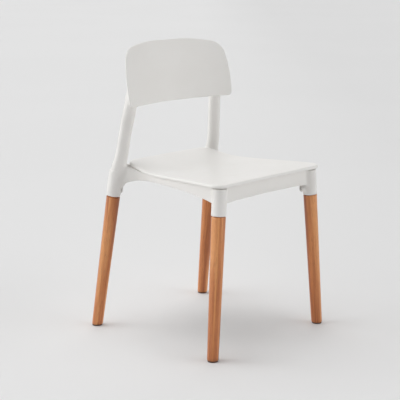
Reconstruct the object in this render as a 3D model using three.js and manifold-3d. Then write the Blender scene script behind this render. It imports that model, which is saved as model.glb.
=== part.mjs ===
// Dining chair: a moulded plastic frame with separate seat and back panels, on four tapered wooden legs.
// Millimetres, +Z up. The sitter faces -Y, so the sitter's left is +X. The origin is on the floor.

import * as THREE from 'three';
import { mergeVertices } from 'three/addons/utils/BufferGeometryUtils.js';
import Module from 'manifold-3d';

const wasm = await Module();
wasm.setup();

// ---------- Driving dimensions ----------

const GAP = 0.3; // left between pieces that touch
const EXTRA = 5; // cutters run past the faces that they open
const ROUND = 22; // sides on the large round pieces
const SMALL_ROUND = 12; // sides on the fasteners and their holes

// Legs and sockets. Each leg's axis runs from its foot on the floor through the middle of its socket's rim.
const RIM_HEIGHT = 381;
const FRONT_FOOT = [221, -223];
const FRONT_RIM = [190, -214];
const REAR_FOOT = [220, 223];
const REAR_RIM = [197.5, 171.5];
const FOOT_RADIUS = 15.2;
const LEG_RADIUS = 18.8;
const TENON_RADIUS = 14;
const TENON_LENGTH = 42;
const SOCKET_RADIUS = 19.4;
const SOCKET_TOP = 451.5;
const GLIDE_RADIUS = 13.8;
const GLIDE_HEIGHT = 3.6;
const GLIDE_RECESS_DEPTH = 1.8;
const PIN_HEAD_RADIUS = 4.5;
const PIN_HEAD_START = 0.4; // how far the pin's head stays clear of the floor
const PIN_RADIUS = 1.6;
const PIN_LENGTH = 17;

// Leg bolts cross each socket level, just above its rim, from a boss on the side that faces under the seat.
const BOLT_HEIGHT = 398.5;
const FRONT_BOSS = { facing: [-0.94, 0.34], reach: 29 };
const REAR_BOSS = { facing: [-0.5, -0.87], reach: 22.5 };
const BOSS_RADIUS = 9;
const BOSS_START = 15; // where a boss begins, inside its socket's wall
const BOLT_RECESS_RADIUS = 6.4;
const BOLT_RECESS_DEPTH = 6;
const WASHER_RADIUS = 6;
const WASHER_THICKNESS = 1.2;
const BOLT_RADIUS = 3;
const BOLT_HEAD_RADIUS = 5.3;
const BOLT_HEAD_HEIGHT = 3.2;
const BOLT_END_REACH = 2.5;
const INSERT_RADIUS = 5;
const INSERT_LENGTH = 12;
const INSERT_START = TENON_RADIUS - INSERT_LENGTH - 1; // from the leg's axis

// Seat panel: a dished plate with a turned-down rim, wider at the front.
const SEAT_FRONT = -238;
const SEAT_REAR = 160;
const SEAT_FRONT_HALF_WIDTH = 217;
const SEAT_REAR_HALF_WIDTH = 163;
const SEAT_FRONT_CORNER = 32;
const SEAT_REAR_CORNER = 40;
const SEAT_HEIGHT = 465.5;
const SEAT_THICKNESS = 4.5;
const SEAT_RIM_DEPTH = 8.5;
const SEAT_RIM_WIDTH = 4;
const SEAT_DISH = 12;
const SEAT_REAR_RISE = 22;
const SEAT_FRONT_DROP = 1;
const SEAT_SHADOW_GAP = 1.4;
const SEAT_BOSS_RADIUS = 5.5;
const SEAT_BOSS_SKIN = 2.2; // left between a screw's hole and the seat's upper face

// Frame rails: upright bars under the seat's edges, each with a channel up its middle from below.
const RAIL_HALF_THICKNESS = 7;
const RAIL_WALL = 3.2;
const RAIL_TOP_SKIN = 4;
const RAIL_ROUNDING = 2.5;
const RAIL_SCREW_BOSS_RADIUS = 6;
const RAIL_SCREW_GRIP = 10; // plastic that a seat screw's head clamps

// Posts: they rise from the rear sockets, a little inward and forward of the legs' axes.
const POST_TOP = 684;
const POST_SQUARENESS = 2.5;
const PAD_BOTTOM = 618;
const PAD_INWARD = 14;
const PAD_ROUNDING = 3.5;

// Back panel: bent round a vertical axis, leaning back, with a crowned top edge.
const BACK_BOTTOM = 630;
const BACK_TOP = 799;
const BACK_BOTTOM_HALF_WIDTH = 204;
const BACK_TOP_HALF_WIDTH = 190;
const BACK_SIDE_BULGE = 8;
const BACK_TOP_CORNER = 34;
const BACK_BOTTOM_CORNER = 11;
const BACK_CENTRE_Y = 130;
const BACK_LEAN = 0.168;
const BACK_WRAP = 41;
const BACK_TOP_CROWN = 16;
const BACK_THICKNESS = 5.5;
const BACK_EDGE_ROUND = 4;
const BACK_SCREW_HEIGHTS = [646, 668];
const BACK_SCREW_X = 168;
const BACK_BOSS_RADIUS = 6;
const BACK_BOSS_HEIGHT = 6;
const BACK_HEAD_SEAT = 13; // from the panel's rear face to the face that a screw's head bears on

// Small screws, for the seat from below and for the back from behind.
const SCREW_RADIUS = 2;
const SCREW_HEAD_RADIUS = 4;
const SCREW_HEAD_HEIGHT = 2.6;
const SCREW_HEAD_CLEARANCE = 0.8;
const LONG_CUT = 40; // a cut that runs out of the frame on one side

// ---------- Materials ----------

const plastic = () => new THREE.MeshStandardMaterial({ color: 0xe8e7e3, roughness: 0.48, metalness: 0 });
const beech = () => new THREE.MeshStandardMaterial({ color: 0xbf7844, roughness: 0.55, metalness: 0 });
const steel = () => new THREE.MeshStandardMaterial({ color: 0x9a9a98, roughness: 0.35, metalness: 1 });
const nylon = () => new THREE.MeshStandardMaterial({ color: 0x4b443f, roughness: 0.7, metalness: 0 });

// ---------- Geometry helpers ----------

const chair = new THREE.Group();

function addMesh(name, geometry, material, parent = chair) {
  const mesh = new THREE.Mesh(geometry, material);
  mesh.name = name;
  parent.add(mesh);
  return mesh;
}

function toSolid(geometry) {
  const bare = geometry.clone();
  bare.deleteAttribute('normal');
  bare.deleteAttribute('uv');
  const merged = mergeVertices(bare, 1e-4);
  const vertProperties = Float32Array.from(merged.attributes.position.array);
  const triVerts = Uint32Array.from(merged.index.array);
  return new wasm.Manifold(new wasm.Mesh({ numProp: 3, vertProperties, triVerts }));
}

function toGeometry(solid) {
  const { vertProperties, triVerts } = solid.getMesh();
  const geometry = new THREE.BufferGeometry();
  geometry.setAttribute('position', new THREE.BufferAttribute(vertProperties, 3));
  geometry.setIndex(new THREE.BufferAttribute(triVerts, 1));
  geometry.computeVertexNormals();
  return geometry;
}

// A closed skin over rings of points. Each ring runs anticlockwise seen from the last ring's end.
function skin(rings) {
  const count = rings[0].length;
  const points = rings.flat();
  const index = [];
  for (let r = 0; r < rings.length - 1; r++) {
    for (let i = 0; i < count; i++) {
      const a = r * count + i;
      const b = r * count + (i + 1) % count;
      index.push(a, b, b + count, a, b + count, a + count);
    }
  }
  const centre = (ring) => ring.reduce((sum, p) => sum.add(p), new THREE.Vector3()).divideScalar(count);
  const start = points.push(centre(rings[0])) - 1;
  const end = points.push(centre(rings[rings.length - 1])) - 1;
  const last = (rings.length - 1) * count;
  for (let i = 0; i < count; i++) {
    const next = (i + 1) % count;
    index.push(start, next, i, end, last + i, last + next);
  }
  const geometry = new THREE.BufferGeometry().setFromPoints(points);
  geometry.setIndex(index);
  geometry.computeVertexNormals();
  return geometry;
}

// A turned piece about the Z axis, from [radius, z] pairs that start and end on the axis
// or close on themselves.
function turned(profile, segments = SMALL_ROUND) {
  const points = profile.map(([radius, z]) => new THREE.Vector2(radius, z));
  return new THREE.LatheGeometry(points, segments).rotateX(Math.PI / 2);
}

function rod(radius, from, to, segments = SMALL_ROUND) {
  return turned([[0, from], [radius, from], [radius, to], [0, to]], segments);
}

// Turns a piece made about the Z axis onto a direction, and moves its origin to a place.
function aim(object, place, direction) {
  const up = new THREE.Vector3(0, 0, 1);
  object.quaternion.setFromUnitVectors(up, direction.clone().normalize());
  object.position.copy(place);
  object.updateMatrix();
  return object;
}

function aimed(geometry, place, direction) {
  return toSolid(geometry.clone().applyMatrix4(aim(new THREE.Object3D(), place, direction).matrix));
}

const blend = (value, from, to) => THREE.MathUtils.smoothstep(value, from, to);
const mix = THREE.MathUtils.lerp;
const UP = new THREE.Vector3(0, 0, 1);

// ---------- The four corners ----------

const corners = [
  { name: 'front_left', side: 1, foot: FRONT_FOOT, rim: FRONT_RIM, boss: FRONT_BOSS },
  { name: 'front_right', side: -1, foot: FRONT_FOOT, rim: FRONT_RIM, boss: FRONT_BOSS },
  { name: 'rear_left', side: 1, foot: REAR_FOOT, rim: REAR_RIM, boss: REAR_BOSS },
  { name: 'rear_right', side: -1, foot: REAR_FOOT, rim: REAR_RIM, boss: REAR_BOSS },
];

function onAxis({ side, foot, rim }, z) {
  const t = z / RIM_HEIGHT;
  return new THREE.Vector3(side * mix(foot[0], rim[0], t), mix(foot[1], rim[1], t), z);
}

const axisDirection = (corner) => onAxis(corner, RIM_HEIGHT).sub(onAxis(corner, 0)).normalize();
function boltDirection({ side, boss }) {
  return new THREE.Vector3(side * boss.facing[0], boss.facing[1], 0).normalize();
}
const boltSeat = ({ boss }) => boss.reach - BOLT_RECESS_DEPTH;

// ---------- Surfaces of the seat and the back ----------

// The seat's upper surface. It dips across the middle, rises to the back and rolls down at the front.
function seatTop(x, y) {
  const across = (x / seatHalfWidth(y)) ** 2;
  const share = mix(mix(1, 0.55, across), 0.75, blend(y, 50, SEAT_REAR));
  const dish = SEAT_DISH * share * blend(y, SEAT_FRONT + 10, 30);
  const rise = SEAT_REAR_RISE * blend(y, mix(20, 40, across), SEAT_REAR + 30);
  const roll = SEAT_FRONT_DROP * (1 - blend(y, SEAT_FRONT, SEAT_FRONT + 40));
  return SEAT_HEIGHT - dish + rise - roll;
}

function seatHalfWidth(y) {
  return mix(SEAT_FRONT_HALF_WIDTH, SEAT_REAR_HALF_WIDTH, (y - SEAT_FRONT) / (SEAT_REAR - SEAT_FRONT));
}

// The back's front face: y at a place across and up it.
function backFace(x, z) {
  return BACK_CENTRE_Y + BACK_LEAN * (z - BACK_BOTTOM) - BACK_WRAP * (x / BACK_BOTTOM_HALF_WIDTH) ** 2;
}

// A straight-sided outline with rounded corners, sampled anticlockwise as [x, y] pairs.
function roundedOutline(cornerPoints, radii, arcSteps, sideSteps) {
  const outline = [];
  const count = cornerPoints.length;
  const ends = cornerPoints.map((corner, i) => {
    const before = cornerPoints[(i + count - 1) % count].clone().sub(corner).normalize();
    const after = cornerPoints[(i + 1) % count].clone().sub(corner).normalize();
    const half = Math.acos(before.dot(after)) / 2;
    const reach = radii[i] / Math.tan(half);
    const bisector = before.clone().add(after).normalize();
    const centre = bisector.multiplyScalar(radii[i] / Math.sin(half)).add(corner);
    const start = before.multiplyScalar(reach).add(corner);
    const end = after.multiplyScalar(reach).add(corner);
    return { start, end, centre };
  });
  ends.forEach(({ start, end, centre }, i) => {
    const from = start.clone().sub(centre).angle();
    const sweep = (end.clone().sub(centre).angle() - from + 2 * Math.PI) % (2 * Math.PI);
    for (let step = 0; step <= arcSteps; step++) {
      const angle = from + sweep * step / arcSteps;
      const offset = new THREE.Vector2(Math.cos(angle), Math.sin(angle)).multiplyScalar(radii[i]);
      outline.push(offset.add(centre));
    }
    const next = ends[(i + 1) % count].start;
    for (let step = 1; step < sideSteps; step++) outline.push(end.clone().lerp(next, step / sideSteps));
  });
  return outline;
}

// The outline with each point drawn in towards the middle by a distance.
function insetOutline(outline, middle, inset) {
  return outline.map((point) => {
    const arm = point.clone().sub(middle);
    const shrink = Math.max(0, 1 - inset / arm.length());
    return middle.clone().add(arm.multiplyScalar(shrink));
  });
}

function scaledOutline(outline, middle, scale) {
  return outline.map((point) => point.clone().sub(middle).multiplyScalar(scale).add(middle));
}

// ---------- Seat panel ----------

const seatOutline = roundedOutline(
  [
    new THREE.Vector2(-SEAT_FRONT_HALF_WIDTH, SEAT_FRONT),
    new THREE.Vector2(SEAT_FRONT_HALF_WIDTH, SEAT_FRONT),
    new THREE.Vector2(SEAT_REAR_HALF_WIDTH, SEAT_REAR),
    new THREE.Vector2(-SEAT_REAR_HALF_WIDTH, SEAT_REAR),
  ],
  [SEAT_FRONT_CORNER, SEAT_FRONT_CORNER, SEAT_REAR_CORNER, SEAT_REAR_CORNER],
  6,
  7,
);
const seatMiddle = new THREE.Vector2(0, (SEAT_FRONT + SEAT_REAR) / 2);

function seatRing(inset, drop) {
  const outline = insetOutline(seatOutline, seatMiddle, inset);
  return outline.map((p) => new THREE.Vector3(p.x, p.y, seatTop(p.x, p.y) - drop));
}

function seatScaledRing(scale, drop) {
  const outline = scaledOutline(seatOutline, seatMiddle, scale);
  return outline.map((p) => new THREE.Vector3(p.x, p.y, seatTop(p.x, p.y) - drop));
}

// Places of the seat screws on the sitter's left, each on the middle of a rail.
// The right side mirrors them.
const seatScrewPlaces = [
  { name: 'front', x: 80, y: -215 },
  { name: 'side_front', x: 178, y: -90 },
  { name: 'side_rear', x: 161.3, y: 40 },
  { name: 'rear', x: 80, y: 147 },
];

function forBothSides(places, make) {
  places.forEach((place) => {
    make({ ...place, name: `${place.name}_left`, x: place.x });
    make({ ...place, name: `${place.name}_right`, x: -place.x });
  });
}

const railTopAt = (x, y) => seatTop(x, y) - SEAT_RIM_DEPTH - SEAT_SHADOW_GAP;

// The height of the face that a seat screw's head bears on.
const screwBearing = (x, y) => railTopAt(x, y) - RAIL_SCREW_GRIP;

function makeSeat() {
  const inner = [0.3, 0.55, 0.75, 0.9];
  const rings = [
    ...inner.map((scale) => seatScaledRing(scale, SEAT_THICKNESS)),
    seatRing(SEAT_RIM_WIDTH + 1, SEAT_THICKNESS),
    seatRing(SEAT_RIM_WIDTH, SEAT_RIM_DEPTH),
    seatRing(1, SEAT_RIM_DEPTH),
    seatRing(0, SEAT_RIM_DEPTH - 1.2),
    seatRing(0.4, 3.2),
    seatRing(2.2, 0.9),
    seatRing(5.5, 0),
    ...inner.slice().reverse().map((scale) => seatScaledRing(scale, 0)),
  ];
  let seat = toSolid(skin(rings));
  forBothSides(seatScrewPlaces, ({ x, y }) => {
    const top = seatTop(x, y);
    const bottom = railTopAt(x, y) + GAP;
    const place = new THREE.Vector3(x, y, 0);
    seat = seat.add(aimed(rod(SEAT_BOSS_RADIUS, bottom, top - SEAT_BOSS_SKIN / 2), place, UP));
    seat = seat.subtract(aimed(rod(SCREW_RADIUS + GAP, bottom - EXTRA, top - SEAT_BOSS_SKIN), place, UP));
  });
  addMesh('seat_panel', toGeometry(seat), plastic());
}

// ---------- Back panel ----------

const backHeight = BACK_TOP - BACK_BOTTOM;
const backMiddle = new THREE.Vector2(0, BACK_BOTTOM + backHeight / 2);
const backOutline = roundedOutline(
  [
    new THREE.Vector2(-BACK_BOTTOM_HALF_WIDTH, BACK_BOTTOM),
    new THREE.Vector2(BACK_BOTTOM_HALF_WIDTH, BACK_BOTTOM),
    new THREE.Vector2(BACK_TOP_HALF_WIDTH, BACK_TOP),
    new THREE.Vector2(-BACK_TOP_HALF_WIDTH, BACK_TOP),
  ],
  [BACK_BOTTOM_CORNER, BACK_BOTTOM_CORNER, BACK_TOP_CORNER, BACK_TOP_CORNER],
  5,
  9,
).map((p) => new THREE.Vector2(p.x + bulge(p), p.y - crown(p)));

// How far the side edges stand out from the straight line between their corners.
function bulge(p) {
  const rise = (p.y - BACK_BOTTOM) / backHeight;
  return BACK_SIDE_BULGE * Math.sin(Math.PI * rise) * (p.x / BACK_BOTTOM_HALF_WIDTH);
}

// How far the top edge falls away from its middle towards the corners.
function crown(p) {
  const upward = blend(p.y, BACK_BOTTOM + backHeight / 2, BACK_TOP);
  return BACK_TOP_CROWN * upward * blend(Math.abs(p.x), 60, 230);
}

function backPlaces(outline, depth) {
  return outline.map((p) => new THREE.Vector3(p.x, backFace(p.x, p.y) + depth, p.y));
}

// The back as a solid. Grown all round and carried ahead of its face, it also cuts the posts
// to fit behind it.
function backSolid(growth = 0, ahead = 0) {
  const scaled = (scale, depth) => backPlaces(scaledOutline(backOutline, backMiddle, scale), depth);
  const drawnIn = (inset, depth) => backPlaces(insetOutline(backOutline, backMiddle, inset - growth), depth);
  const inner = [0.25, 0.5, 0.72, 0.9];
  const rings = [
    ...inner.map((scale) => scaled(scale, BACK_THICKNESS + growth)),
    drawnIn(BACK_EDGE_ROUND, BACK_THICKNESS + growth),
    drawnIn(BACK_EDGE_ROUND / 6, BACK_THICKNESS - BACK_EDGE_ROUND / 3 + growth),
    drawnIn(0, BACK_THICKNESS / 2),
    drawnIn(BACK_EDGE_ROUND / 6, BACK_EDGE_ROUND / 3 - ahead),
    drawnIn(BACK_EDGE_ROUND, -ahead),
    ...inner.slice().reverse().map((scale) => scaled(scale, -ahead)),
  ];
  return toSolid(skin(rings));
}

// The direction out of the back's rear face at a screw.
function backNormal(x, z) {
  const slope = 2 * BACK_WRAP * x / BACK_BOTTOM_HALF_WIDTH ** 2;
  return new THREE.Vector3(slope, 1, -BACK_LEAN).normalize();
}

const backScrewNames = ['lower', 'upper'];
const backScrewPlaces = BACK_SCREW_HEIGHTS.map((z, i) => ({ name: backScrewNames[i], x: BACK_SCREW_X, z }));

function backScrewFrame({ x, z }) {
  return { place: new THREE.Vector3(x, backFace(x, z) + BACK_THICKNESS, z), direction: backNormal(x, z) };
}

function makeBack() {
  let back = backSolid();
  forBothSides(backScrewPlaces, (spot) => {
    const { place, direction } = backScrewFrame(spot);
    back = back.add(aimed(rod(BACK_BOSS_RADIUS, -2, BACK_BOSS_HEIGHT), place, direction));
    back = back.subtract(aimed(rod(SCREW_RADIUS + GAP, -2.6, BACK_BOSS_HEIGHT + EXTRA), place, direction));
  });
  addMesh('back_panel', toGeometry(back), plastic());
}

// ---------- Frame ----------

// A rail along stations of { x, y, low, high }: a bar with rounded edges, upright in section.
function bar(stations, halfThickness, steps, corner) {
  const path = new THREE.CatmullRomCurve3(stations.map(({ x, y }) => new THREE.Vector3(x, y, 0)));
  const heights = new THREE.SplineCurve(stations.map(({ low, high }) => new THREE.Vector2(low, high)));
  const rings = [];
  for (let step = 0; step <= steps; step++) {
    const t = step / steps;
    const place = path.getPoint(t);
    const sideways = UP.clone().cross(path.getTangent(t)).normalize();
    const { x: low, y: high } = heights.getPoint(t);
    const section = new THREE.Vector2(halfThickness, (high - low) / 2);
    rings.push(roundedBox(section, corner).map((p) => place.clone().addScaledVector(sideways, p.x)
      .setZ((low + high) / 2 + p.y)));
  }
  return toSolid(skin(rings));
}

function roundedBox(half, corner) {
  const middles = [[1, 1], [-1, 1], [-1, -1], [1, -1]];
  return middles.flatMap(([sx, sy], quarter) => [0, 1].map((turn) => {
    const angle = (quarter + turn) * Math.PI / 2;
    return new THREE.Vector2(
      sx * (half.x - corner) + corner * Math.cos(angle),
      sy * (half.y - corner) + corner * Math.sin(angle),
    );
  }));
}

// The channel that lightens a rail from below.
function channel(stations, steps) {
  const hollow = stations.map(({ x, y, low, high }) => (
    { x, y, low: low - EXTRA, high: high - RAIL_TOP_SKIN }
  ));
  return bar(hollow, RAIL_HALF_THICKNESS - RAIL_WALL, steps, 1);
}

const station = (x, y, low) => ({ x, y, low, high: railTopAt(x, y) });
const mirrored = (stations) => stations.map((s) => ({ ...s, x: -s.x }));

// The front and rear rails run across the chair; each is given to its middle and mirrored.
function acrossStations(half) {
  return [...half, ...mirrored(half).reverse().slice(1)];
}

const frontStations = acrossStations([
  station(178, -212, 408), station(150, -213, 411), station(80, -215, 414), station(0, -216, 415),
]);
const rearStations = acrossStations([
  station(184, 158, 410), station(150, 152, 424), station(80, 147, 432), station(0, 146, 434),
]);
const sideStations = [
  station(186, -206, 408), station(184.5, -165, 417), station(178, -90, 426), station(168, -10, 429),
  station(161, 45, 430), station(160.5, 78, 429.5), station(167, 108, 427), station(180, 137, 418),
  station(192, 160, 404),
];

// Sections of a post up its height: how far in and forward of the leg's axis, and its two half widths.
const postSections = [
  { z: 390, inward: 0, forward: 0, along: SOCKET_RADIUS - 1, across: SOCKET_RADIUS - 1 },
  { z: 415, inward: 0, forward: 0, along: SOCKET_RADIUS + 0.2, across: SOCKET_RADIUS },
  { z: 445, inward: 1.4, forward: 1.4, along: 19.6, across: 19.3 },
  { z: 477, inward: 4, forward: 5.8, along: 18.5, across: 18.4 },
  { z: 499, inward: 5, forward: 8.2, along: 17.7, across: 17.8 },
  { z: 522, inward: 5.9, forward: 8.4, along: 17.2, across: 17.4 },
  { z: 544, inward: 6.8, forward: 8.3, along: 17.4, across: 17.3 },
  { z: 566, inward: 8.4, forward: 8.7, along: 17.4, across: 17.2 },
  { z: 588, inward: 9.9, forward: 8.8, along: 18.2, across: 17.2 },
  { z: 611, inward: 11.9, forward: 9.4, along: 18.3, across: 17.1 },
  { z: 633, inward: 13.8, forward: 9.9, along: 17.4, across: 16.8 },
  { z: 655, inward: 16.1, forward: 10.7, along: 14.6, across: 15.6 },
  { z: 670, inward: 17.2, forward: 9.1, along: 12.6, across: 13.6 },
  { z: 679, inward: 17.8, forward: 7.1, along: 10, across: 10.8 },
  { z: POST_TOP, inward: 18, forward: 6.4, along: 6.5, across: 6.5 },
];

function postRing(corner, { z, inward, forward, along, across }, count = 16) {
  const centre = onAxis(corner, z).add(new THREE.Vector3(-corner.side * inward, -forward, 0));
  const squareness = mix(2, POST_SQUARENESS, blend(z, 420, 500));
  const bend = (value) => Math.sign(value) * Math.abs(value) ** (2 / squareness);
  const ring = [];
  for (let i = 0; i < count; i++) {
    const angle = corner.side * 2 * Math.PI * i / count;
    const p = new THREE.Vector2(along * bend(Math.cos(angle)), across * bend(Math.sin(angle)));
    p.rotateAround(new THREE.Vector2(), Math.PI / 4);
    ring.push(new THREE.Vector3(centre.x + corner.side * p.x, centre.y + p.y, z));
  }
  return ring;
}

function makePost(corner) {
  return toSolid(skin(postSections.map((section) => postRing(corner, section))));
}

// A pad that carries a post's head forward to the back panel. Its levels are
// [height, half width, start behind the panel].
function makePostPad(corner) {
  const levels = [[PAD_BOTTOM, 7, 8], [PAD_BOTTOM + 14, 14.5, 0], [655, 15.5, 0], [POST_TOP - 8, 11, 0]];
  const rings = levels.map(([z, halfWidth, setBack]) => {
    const middle = onAxis(corner, z).add(new THREE.Vector3(-corner.side * PAD_INWARD, 0, 0));
    const front = backFace(middle.x, z) + BACK_THICKNESS - 2 + setBack;
    const half = new THREE.Vector2(halfWidth, (middle.y - front) / 2);
    const centreY = (middle.y + front) / 2;
    return roundedBox(half, PAD_ROUNDING).map((p) => new THREE.Vector3(middle.x + p.x, centreY + p.y, z));
  });
  return toSolid(skin(rings));
}

function makeSocket(corner) {
  const start = onAxis(corner, RIM_HEIGHT);
  const length = (SOCKET_TOP - RIM_HEIGHT) / axisDirection(corner).z;
  const profile = [
    [0, 0], [SOCKET_RADIUS - 0.8, 0], [SOCKET_RADIUS, 0.8], [SOCKET_RADIUS, length - 5],
    [SOCKET_RADIUS - 4, length],
    [0, length],
  ];
  return aimed(turned(profile, ROUND), start, axisDirection(corner));
}

// Everything that is cut out of a corner: the socket's bore and the bolt's hole with its recess.
function cornerCutters(corner) {
  const start = onAxis(corner, RIM_HEIGHT);
  const deep = rod(TENON_RADIUS + GAP, -EXTRA, TENON_LENGTH + 1, ROUND);
  const bore = aimed(deep, start, axisDirection(corner));
  const cross = onAxis(corner, BOLT_HEIGHT);
  const mouth = corner.boss.reach + EXTRA;
  const hole = aimed(rod(BOLT_RADIUS + GAP, 0, mouth), cross, boltDirection(corner));
  const recess = aimed(rod(BOLT_RECESS_RADIUS, boltSeat(corner), mouth), cross, boltDirection(corner));
  return [bore, hole, recess];
}

function makeBoss(corner) {
  const { reach } = corner.boss;
  const profile = [
    [0, BOSS_START], [BOSS_RADIUS + 1, BOSS_START], [BOSS_RADIUS, reach - 1], [BOSS_RADIUS - 1, reach],
    [0, reach],
  ];
  return aimed(turned(profile), onAxis(corner, BOLT_HEIGHT), boltDirection(corner));
}

function makeFrame() {
  const bars = [
    { stations: frontStations, steps: 8 },
    { stations: rearStations, steps: 8 },
    { stations: sideStations, steps: 10 },
    { stations: mirrored(sideStations), steps: 10 },
  ];
  const rails = bars.map(({ stations, steps }) => bar(stations, RAIL_HALF_THICKNESS, steps, RAIL_ROUNDING));
  const channels = bars.map(({ stations, steps }) => channel(stations, steps));
  let frame = rails.reduce((sum, rail) => sum.add(rail));
  frame = channels.reduce((sum, hollow) => sum.subtract(hollow), frame);

  corners.forEach((corner) => {
    frame = frame.add(makeSocket(corner)).add(makeBoss(corner));
    if (corner.foot === REAR_FOOT) frame = frame.add(makePost(corner)).add(makePostPad(corner));
  });
  corners.forEach((corner) => {
    frame = cornerCutters(corner).reduce((sum, cutter) => sum.subtract(cutter), frame);
  });

  forBothSides(seatScrewPlaces, ({ x, y }) => {
    const place = new THREE.Vector3(x, y, 0);
    const top = railTopAt(x, y);
    const bearing = screwBearing(x, y);
    const headHole = rod(SCREW_HEAD_RADIUS + SCREW_HEAD_CLEARANCE, bearing - LONG_CUT, bearing);
    frame = frame.add(aimed(rod(RAIL_SCREW_BOSS_RADIUS, bearing, top), place, UP));
    frame = frame.subtract(aimed(headHole, place, UP));
    frame = frame.subtract(aimed(rod(SCREW_RADIUS + GAP, top - LONG_CUT, top + EXTRA), place, UP));
    frame = frame.subtract(aimed(rod(SEAT_BOSS_RADIUS + 1, top, top + EXTRA), place, UP));
  });

  frame = frame.subtract(backSolid(GAP, 30));
  forBothSides(backScrewPlaces, (spot) => {
    const { place, direction } = backScrewFrame(spot);
    const pocket = rod(BACK_BOSS_RADIUS + GAP, -EXTRA, BACK_BOSS_HEIGHT + GAP);
    frame = frame.subtract(aimed(pocket, place, direction));
    const headHole = rod(SCREW_HEAD_RADIUS + SCREW_HEAD_CLEARANCE, BACK_HEAD_SEAT, LONG_CUT);
    frame = frame.subtract(aimed(rod(SCREW_RADIUS + GAP, 0, LONG_CUT), place, direction));
    frame = frame.subtract(aimed(headHole, place, direction));
  });
  addMesh('chair_frame', toGeometry(frame), plastic());
}

// ---------- Legs and their fittings ----------

function makeLeg(corner) {
  const direction = axisDirection(corner);
  const length = RIM_HEIGHT / direction.z;
  const profile = [
    [0, 0], [FOOT_RADIUS, 0], [LEG_RADIUS, length - 4], [LEG_RADIUS - 0.8, length - GAP],
    [TENON_RADIUS, length - GAP], [TENON_RADIUS, length + TENON_LENGTH - 2],
    [TENON_RADIUS - 2, length + TENON_LENGTH], [0, length + TENON_LENGTH],
  ];
  let leg = aimed(turned(profile, ROUND), onAxis(corner, 0), direction);

  const below = new THREE.BoxGeometry(LONG_CUT, LONG_CUT, LONG_CUT);
  below.translate(corner.side * corner.foot[0], corner.foot[1], GLIDE_HEIGHT + GAP - LONG_CUT / 2);
  leg = leg.subtract(toSolid(below));

  const cross = onAxis(corner, BOLT_HEIGHT);
  const boltHole = rod(BOLT_RADIUS + GAP, BOLT_END_REACH - 1, LONG_CUT);
  leg = leg.subtract(aimed(boltHole, cross, boltDirection(corner)));
  const insertHole = rod(INSERT_RADIUS + GAP, INSERT_START - GAP, LONG_CUT);
  leg = leg.subtract(aimed(insertHole, cross, boltDirection(corner)));

  const foot = onAxis(corner, 0);
  leg = leg.subtract(aimed(rod(PIN_RADIUS + GAP, 0, PIN_LENGTH + 1), foot, UP));
  addMesh(`${corner.name}_leg`, toGeometry(leg), beech());
}

function makeGlide(corner) {
  const inner = PIN_RADIUS + GAP;
  const recess = PIN_HEAD_RADIUS + GAP;
  const profile = [
    [inner, GLIDE_RECESS_DEPTH], [recess, GLIDE_RECESS_DEPTH], [recess, 0],
    [GLIDE_RADIUS - 1.4, 0], [GLIDE_RADIUS, 1.4], [GLIDE_RADIUS, GLIDE_HEIGHT],
    [inner, GLIDE_HEIGHT], [inner, GLIDE_RECESS_DEPTH],
  ];
  const glide = addMesh(`${corner.name}_glide`, turned(profile, ROUND), nylon());
  glide.position.copy(onAxis(corner, 0));
}

function makeGlidePin(corner) {
  const top = GLIDE_RECESS_DEPTH - GAP;
  const profile = [
    [0, PIN_HEAD_START], [PIN_HEAD_RADIUS - 0.8, PIN_HEAD_START], [PIN_HEAD_RADIUS, 1],
    [PIN_HEAD_RADIUS, top], [PIN_RADIUS, top], [PIN_RADIUS, PIN_LENGTH - 3], [0, PIN_LENGTH],
  ];
  const pin = addMesh(`${corner.name}_glide_pin`, turned(profile), steel());
  pin.position.copy(onAxis(corner, 0));
}

function makeBolt(corner) {
  const seat = boltSeat(corner) + WASHER_THICKNESS + 2 * GAP;
  const head = seat + BOLT_HEAD_HEIGHT;
  const profile = [
    [0, BOLT_END_REACH], [BOLT_RADIUS - 0.7, BOLT_END_REACH], [BOLT_RADIUS, BOLT_END_REACH + 1],
    [BOLT_RADIUS, seat],
    [BOLT_HEAD_RADIUS, seat], [BOLT_HEAD_RADIUS, seat + 1.2], [BOLT_HEAD_RADIUS - 2, head], [1.9, head],
    [1.9, head - 2], [0, head - 2],
  ];
  const bolt = addMesh(`${corner.name}_leg_bolt`, turned(profile), steel());
  aim(bolt, onAxis(corner, BOLT_HEIGHT), boltDirection(corner));
}

function makeWasher(corner) {
  const low = boltSeat(corner) + GAP;
  const high = low + WASHER_THICKNESS;
  const inner = BOLT_RADIUS + GAP;
  const profile = [[inner, low], [WASHER_RADIUS, low], [WASHER_RADIUS, high], [inner, high], [inner, low]];
  const washer = addMesh(`${corner.name}_leg_washer`, turned(profile), steel());
  aim(washer, onAxis(corner, BOLT_HEIGHT), boltDirection(corner));
}

function makeInsert(corner) {
  const low = INSERT_START;
  const high = low + INSERT_LENGTH;
  const inner = BOLT_RADIUS + GAP;
  const profile = [[inner, low], [INSERT_RADIUS, low], [INSERT_RADIUS, high], [inner, high], [inner, low]];
  const insert = addMesh(`${corner.name}_threaded_insert`, turned(profile), steel());
  aim(insert, onAxis(corner, BOLT_HEIGHT), boltDirection(corner));
}

// ---------- Seat and back screws ----------

// A screw about the Z axis, its head's bearing face at z = 0 and its shank going up.
function screwProfile(length) {
  return [
    [0, -SCREW_HEAD_HEIGHT], [SCREW_HEAD_RADIUS - 1.4, -SCREW_HEAD_HEIGHT], [SCREW_HEAD_RADIUS, -1],
    [SCREW_HEAD_RADIUS, 0], [SCREW_RADIUS, 0], [SCREW_RADIUS, length - 2], [0, length],
  ];
}

function makeSeatScrews() {
  forBothSides(seatScrewPlaces, ({ name, x, y }) => {
    const bearing = screwBearing(x, y) - GAP;
    const length = seatTop(x, y) - 2.8 - bearing;
    const screw = addMesh(`seat_screw_${name}`, turned(screwProfile(length), 8), steel());
    screw.position.set(x, y, bearing);
  });
}

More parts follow.
